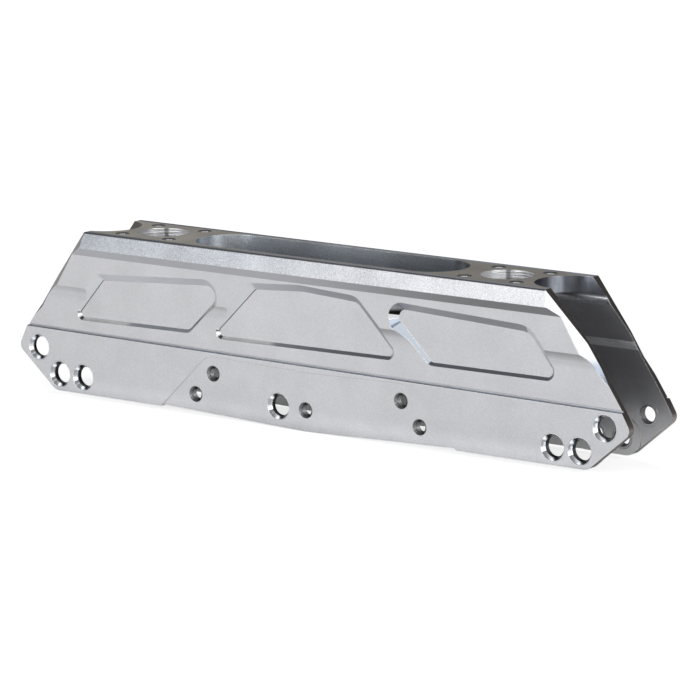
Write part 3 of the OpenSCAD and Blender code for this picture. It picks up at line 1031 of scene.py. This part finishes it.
class SKATE_OT_axle_threads(bpy.types.Operator):
    """Make the thread inserts in the right wall's axle holes"""

    bl_idname = "skate_frame.axle_threads"
    bl_label = "Axle threads"
    bl_options = {"REGISTER", "UNDO"}

    def execute(self, context):
        outer, bore, thread_depth = 4.6, 3.1, 0.5
        sizes = context.scene.skate_frame_sizes
        steel = thread_steel(context)
        for place in AXLE_PLACES:
            node = "axle_thread_" + place
            depth = node_depth(node, "y")
            ring = turned_ring("thread_pattern", [
                (outer, 0.05), (4.55, 0), (3.55, 0), (3.5, 0.04), (3.12, 0.4),
                *threaded_bore(bore, 0.5, depth - 0.5, sizes.axle_pitch / MM, thread_depth),
                (3.12, depth - 0.4), (3.5, depth - 0.04), (3.55, depth), (4.55, depth),
                (outer, depth - 0.05),
            ], sizes.ring_steps)
            set_copies(ring, steel, "thread_steel", [("thread_" + place, node, "right")])
        return {"FINISHED"}


class SKATE_OT_guard_inserts(bpy.types.Operator):
    """Make the small countersunk inserts round the guard recess on both sides"""

    bl_idname = "skate_frame.guard_inserts"
    bl_label = "Guard inserts"
    bl_options = {"REGISTER", "UNDO"}

    def execute(self, context):
        outer, sink_mouth, bore, thread_depth = 3.2, 3.02, 2.1, 0.3
        sizes = context.scene.skate_frame_sizes
        depth = node_depth("guard_insert_left_middle", "y")
        ring = turned_ring("guard_pattern", [
            (outer, 0.04), (3.17, 0), (3.06, 0), (sink_mouth, 0.04), (2.14, 0.93), (bore, 1.02),
            *threaded_bore(bore, 1.05, depth - 0.1, sizes.screw_pitch / MM, thread_depth),
            (bore, depth), (outer, depth),
        ], sizes.ring_steps * 2 // 3)
        set_copies(ring, insert_steel(context), "insert_steel", [
            (f"guard_screw_{side}_{place}", f"guard_insert_{side}_{place}", side)
            for side in ("left", "right")
            for place in GUARD_PLACES
        ])
        return {"FINISHED"}


class SKATE_OT_mount_inserts(bpy.types.Operator):
    """Make the screw inserts round both boot mounting holes in the top plate"""

    bl_idname = "skate_frame.mount_inserts"
    bl_label = "Mount inserts"
    bl_options = {"REGISTER", "UNDO"}

    def execute(self, context):
        outer, sink_mouth, bore, thread_depth = 2.85, 2.68, 2.1, 0.3
        sizes = context.scene.skate_frame_sizes
        depth = node_depth("mount_insert_front_1", "z")
        ring = turned_ring("mount_pattern", [
            (outer, 0.04), (2.82, 0), (2.72, 0), (sink_mouth, 0.03), (2.14, 0.57), (bore, 0.65),
            *threaded_bore(bore, 0.7, depth - 0.3, sizes.screw_pitch / MM, thread_depth),
            (bore, depth - 0.2), (2.3, depth), (outer, depth),
        ], sizes.ring_steps * 2 // 3)
        set_copies(ring, mount_steel(context), "insert_steel", [
            (f"mount_screw_{end}_{number}", f"mount_insert_{end}_{number}", "top")
            for end in ("front", "rear")
            for number in MOUNT_NUMBERS
        ])
        return {"FINISHED"}


# Stage


def point_toward(distance, turn, lift):
    """A place in metres, turned in degrees from the left wall towards the front end."""
    turn, lift = math.radians(turn), math.radians(lift)
    return Vector((
        -math.sin(turn) * math.cos(lift), -math.cos(turn) * math.cos(lift), math.sin(lift)
    )) * distance


def softbox(name, place, width, height, brightness, colour):
    """Add a large soft lamp that faces the frame, with this brightness of its surface."""
    bpy.ops.object.select_all(action="DESELECT")
    bpy.ops.object.light_add(type="AREA", location=place)
    lamp = bpy.context.object
    lamp.name = name
    lamp.data.shape = "RECTANGLE"
    lamp.data.size = width
    lamp.data.size_y = height
    lamp.data.energy = brightness * math.pi * width * height
    lamp.data.color = colour
    lamp.rotation_euler = (-Vector(place)).to_track_quat("-Z", "Y").to_euler()
    lamp.visible_camera = False


def white_floor(context):
    """A pale floor that the camera sees as white, with the frame's shadow; the metal sees it white
    too, but darkened near the frame as painted shade.
    """
    shaded_floor_side, clear_side = 18 * MM, 36 * MM
    settings = context.scene.skate_frame_stage
    made = bpy.data.materials.new("white_floor")
    made.use_nodes = True
    tree = made.node_tree
    tree.nodes.remove(tree.nodes["Principled BSDF"])
    matte = add_node(tree, "ShaderNodeBsdfDiffuse", {"Color": (*settings.floor, 1)})
    rays = add_node(tree, "ShaderNodeLightPath").outputs
    mirrored = add_maths(tree, "MAXIMUM", rays["Is Glossy Ray"], rays["Is Transmission Ray"])
    place = add_node(tree, "ShaderNodeSeparateXYZ", {0: object_place(tree)})
    aside = add_maths(tree, "ABSOLUTE", place.outputs["Y"])
    # The metal's view of the floor loses its shine near the frame: painted shade that only
    # reflections show.
    clear = add_node(
        tree, "ShaderNodeMapRange",
        {"Value": aside, "From Min": shaded_floor_side, "From Max": clear_side,
         "To Min": 0.0, "To Max": settings.floor_shine},
        interpolation_type="SMOOTHSTEP",
    )
    shine = add_maths(tree, "MULTIPLY", mirrored, clear.outputs["Result"])
    strength = add_maths(
        tree, "MULTIPLY_ADD", rays["Is Camera Ray"], settings.floor_glow, shine
    )
    glow = add_node(tree, "ShaderNodeEmission", {"Color": (1, 1, 1, 1), "Strength": strength})
    both = add_node(tree, "ShaderNodeAddShader", {0: matte.outputs[0], 1: glow.outputs[0]})
    tree.links.new(both.outputs[0], tree.nodes["Material Output"].inputs["Surface"])
    return made


def set_surroundings(context):
    """Give the world its plain colour, which the camera sees as white."""
    world = bpy.data.worlds.new("surroundings")
    context.scene.world = world
    world.use_nodes = True
    tree = world.node_tree
    rays = add_node(tree, "ShaderNodeLightPath")
    shown = add_node(
        tree, "ShaderNodeMix",
        {0: rays.outputs["Is Camera Ray"],
         6: (*context.scene.skate_frame_stage.surroundings, 1), 7: (1, 1, 1, 1)},
        data_type="RGBA",
    )
    tree.links.new(shown.outputs[2], tree.nodes["Background"].inputs["Color"])


def set_camera(context):
    """Add the camera at the viewing angle, aimed near the frame's middle."""
    settings = context.scene.skate_frame_stage
    turn, lift = settings.azimuth, settings.elevation
    back = Vector((
        math.sin(turn) * math.cos(lift), -math.cos(turn) * math.cos(lift), math.sin(lift)
    ))
    bpy.ops.object.camera_add()
    camera = context.object
    camera.location = Vector(CAMERA_AIM) * MM + back * settings.distance
    camera.rotation_mode = "QUATERNION"
    camera.rotation_quaternion = (-back).to_track_quat("-Z", "Y")
    camera.data.sensor_width = SENSOR_WIDTH
    camera.data.lens = LENS
    camera.data.clip_end = 40
    context.scene.camera = camera


class SKATE_OT_stage(bpy.types.Operator):
    """Set up the floor, the soft lamps, the surroundings and the camera"""

    bl_idname = "skate_frame.stage"
    bl_label = "Stage"
    bl_options = {"REGISTER", "UNDO"}

    def execute(self, context):
        bpy.ops.object.select_all(action="DESELECT")
        bpy.ops.mesh.primitive_plane_add(size=16, location=(0, 0, 0))
        floor = context.object
        floor.name = "floor"
        floor.data.materials.append(white_floor(context))
        softbox(
            "bevel_softbox", point_toward(3.4, 13, 13),
            width=2.6, height=1.6, brightness=2.4, colour=(0.97, 0.985, 1.0),
        )
        softbox(
            "facet_softbox", point_toward(3.2, -43, 19),
            width=1.8, height=1.9, brightness=1.3, colour=(0.98, 0.99, 1.0),
        )
        softbox(
            "blue_softbox", point_toward(3.2, -36, 53),
            width=1.8, height=1.1, brightness=0.6, colour=(0.74, 0.86, 1.0),
        )
        softbox(
            "right_softbox", point_toward(3.2, -84, 14),
            width=1.6, height=1.5, brightness=2.2, colour=(1.0, 1.0, 1.0),
        )
        softbox(
            "back_softbox", point_toward(3.0, 160, 66),
            width=1.4, height=1.4, brightness=1.5, colour=(0.88, 0.94, 1.0),
        )
        set_surroundings(context)
        set_camera(context)
        context.scene.view_settings.view_transform = "Standard"
        return {"FINISHED"}


OPERATORS = (
    SKATE_OT_frame_shell,
    SKATE_OT_axle_seats,
    SKATE_OT_axle_threads,
    SKATE_OT_guard_inserts,
    SKATE_OT_mount_inserts,
    SKATE_OT_stage,
)
SETTINGS = {"sizes": FrameSizes, "finishes": FrameFinishes, "stage": StageSettings}


class SKATE_PT_panel(bpy.types.Panel):
    """Lists the operators and settings of the skate frame"""

    bl_idname = "SKATE_PT_panel"
    bl_label = "Skate Frame"
    bl_space_type = "VIEW_3D"
    bl_region_type = "UI"
    bl_category = "Skate Frame"

    def draw(self, context):
        layout = self.layout
        for operator in OPERATORS:
            layout.operator(operator.bl_idname)
        for group, kind in SETTINGS.items():
            box = layout.box()
            for name in kind.__annotations__:
                box.prop(getattr(context.scene, "skate_frame_" + group), name)


def register():
    for kind in (*SETTINGS.values(), *OPERATORS, SKATE_PT_panel):
        bpy.utils.register_class(kind)
    for name, kind in SETTINGS.items():
        setattr(bpy.types.Scene, "skate_frame_" + name, PointerProperty(type=kind))


def unregister():
    for name in SETTINGS:
        delattr(bpy.types.Scene, "skate_frame_" + name)
    for kind in (SKATE_PT_panel, *reversed(OPERATORS), *SETTINGS.values()):
        bpy.utils.unregister_class(kind)


def main():
    register()
    bpy.ops.skate_frame.frame_shell()
    bpy.ops.skate_frame.axle_seats()
    bpy.ops.skate_frame.axle_threads()
    bpy.ops.skate_frame.guard_inserts()
    bpy.ops.skate_frame.mount_inserts()
    bpy.ops.skate_frame.stage()


if __name__ == "__main__":
    main()
